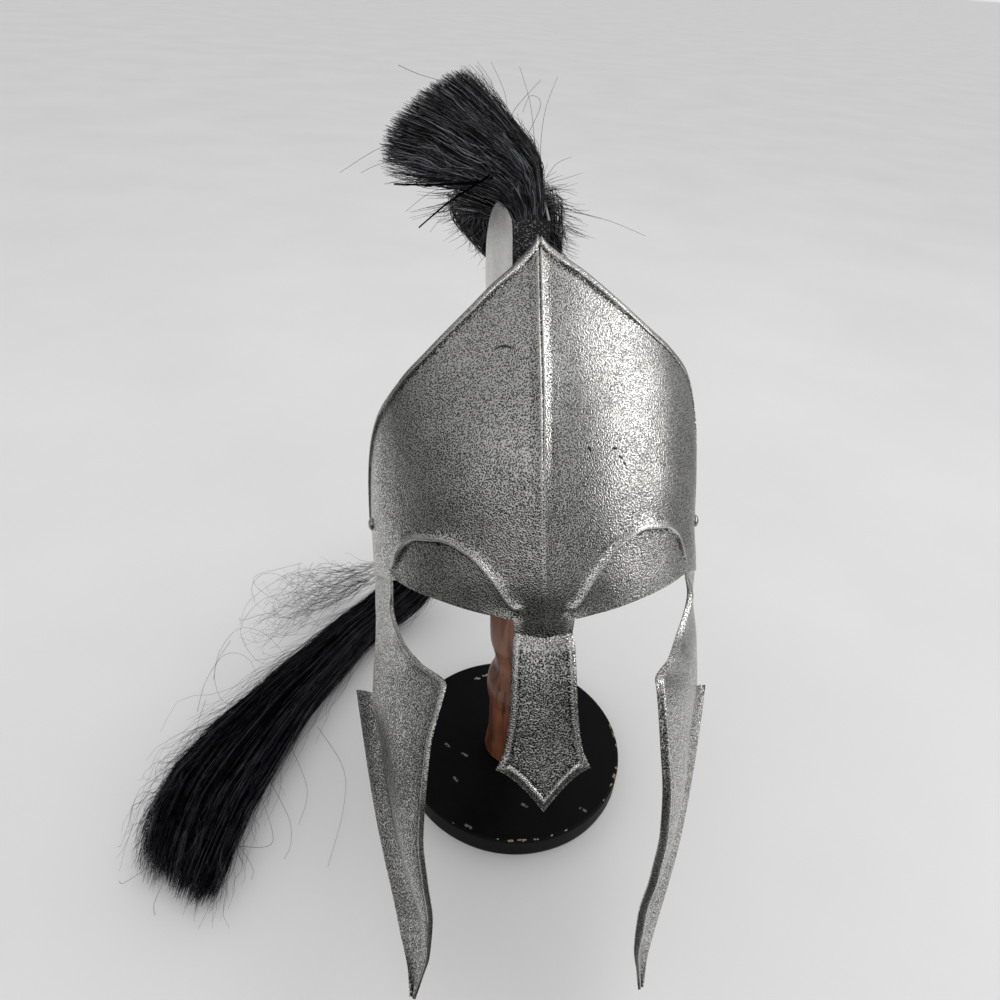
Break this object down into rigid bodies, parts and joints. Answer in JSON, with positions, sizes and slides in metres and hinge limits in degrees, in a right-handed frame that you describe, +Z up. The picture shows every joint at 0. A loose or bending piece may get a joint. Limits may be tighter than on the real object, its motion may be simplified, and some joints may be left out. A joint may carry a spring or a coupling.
{
  "type": "spartan helmet on stand",
  "caption": "Open-faced steel helmet with a peaked visor, nose guard, long cheek pieces and a black horsehair plume, tilted back on a turned wooden display stand.",
  "frame": {"origin": "centre of the underside of the stand's round base, on the table", "axes": "+Z up; -Y the way the face opening looks; +X towards the helmet's left-hand side, which is the right of someone facing it"},
  "size_m": [0.4121, 0.4775, 0.5629],
  "materials": {
    "hammered_silver": "bright silver coating over sheet steel, with a fine dark grain in it",
    "black_horsehair": "glossy black horsehair",
    "black_painted_board": "satin black paint, scuffed, chipped to the board at the edge",
    "turned_brown_wood": "warm brown stain under thin varnish"
  },
  "bodies": {
    "root": {"bowl": "hammered_silver", "face_plate": "hammered_silver", "rivet_left": "hammered_silver", "rivet_right": "hammered_silver", "crest_holder": "hammered_silver", "plume_brush": "black_horsehair", "plume_tail": "black_horsehair", "stand_base": "black_painted_board", "stand_post": "turned_brown_wood"}
  },
  "joints": []
}
